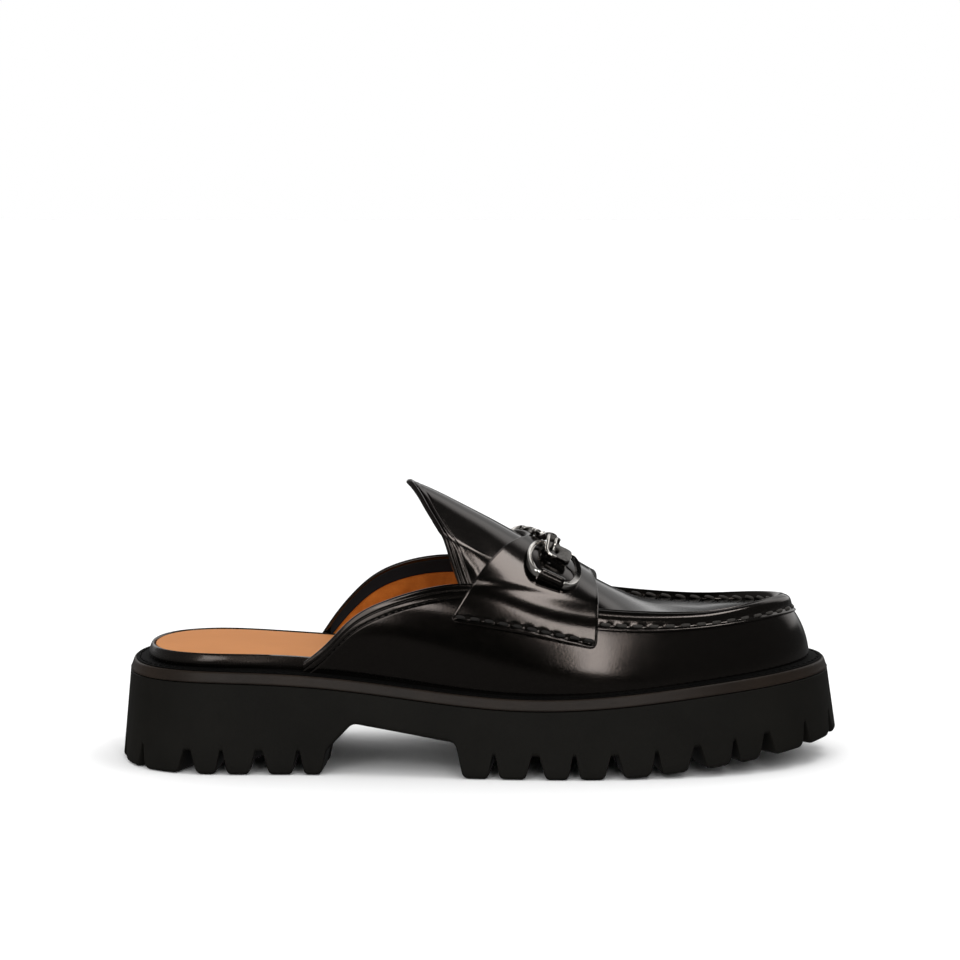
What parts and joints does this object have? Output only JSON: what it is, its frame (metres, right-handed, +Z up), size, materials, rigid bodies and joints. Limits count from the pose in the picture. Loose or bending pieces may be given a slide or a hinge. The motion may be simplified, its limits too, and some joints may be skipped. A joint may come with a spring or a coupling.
{
  "type": "lug-sole mule with a snaffle bit",
  "caption": "Black leather backless loafer for the right foot with a saddle strap, snaffle ornament, tan insole and thick lugged rubber sole.",
  "frame": {"origin": "middle of the footprint on the floor the shoe stands on", "axes": "+X from heel to toe, +Y to the medial side, +Z up"},
  "size_m": [0.2768, 0.1034, 0.1076],
  "materials": {
    "rubber": "matte",
    "edge_leather": "satin",
    "black_leather": "satin",
    "brushed_leather": "gloss",
    "tan_leather": "satin",
    "steel": "polished"
  },
  "bodies": {
    "root": {"outsole": "rubber", "welt_midsole": "edge_leather", "footbed": "black_leather", "insole": "tan_leather", "upper": "brushed_leather", "tongue": "brushed_leather", "saddle_strap": "brushed_leather", "bit_ring_lateral": "steel", "bit_ring_medial": "steel", "bit_link_lateral": "steel", "bit_link_medial": "steel", "keeper_lateral": "black_leather", "keeper_medial": "black_leather"}
  },
  "joints": []
}
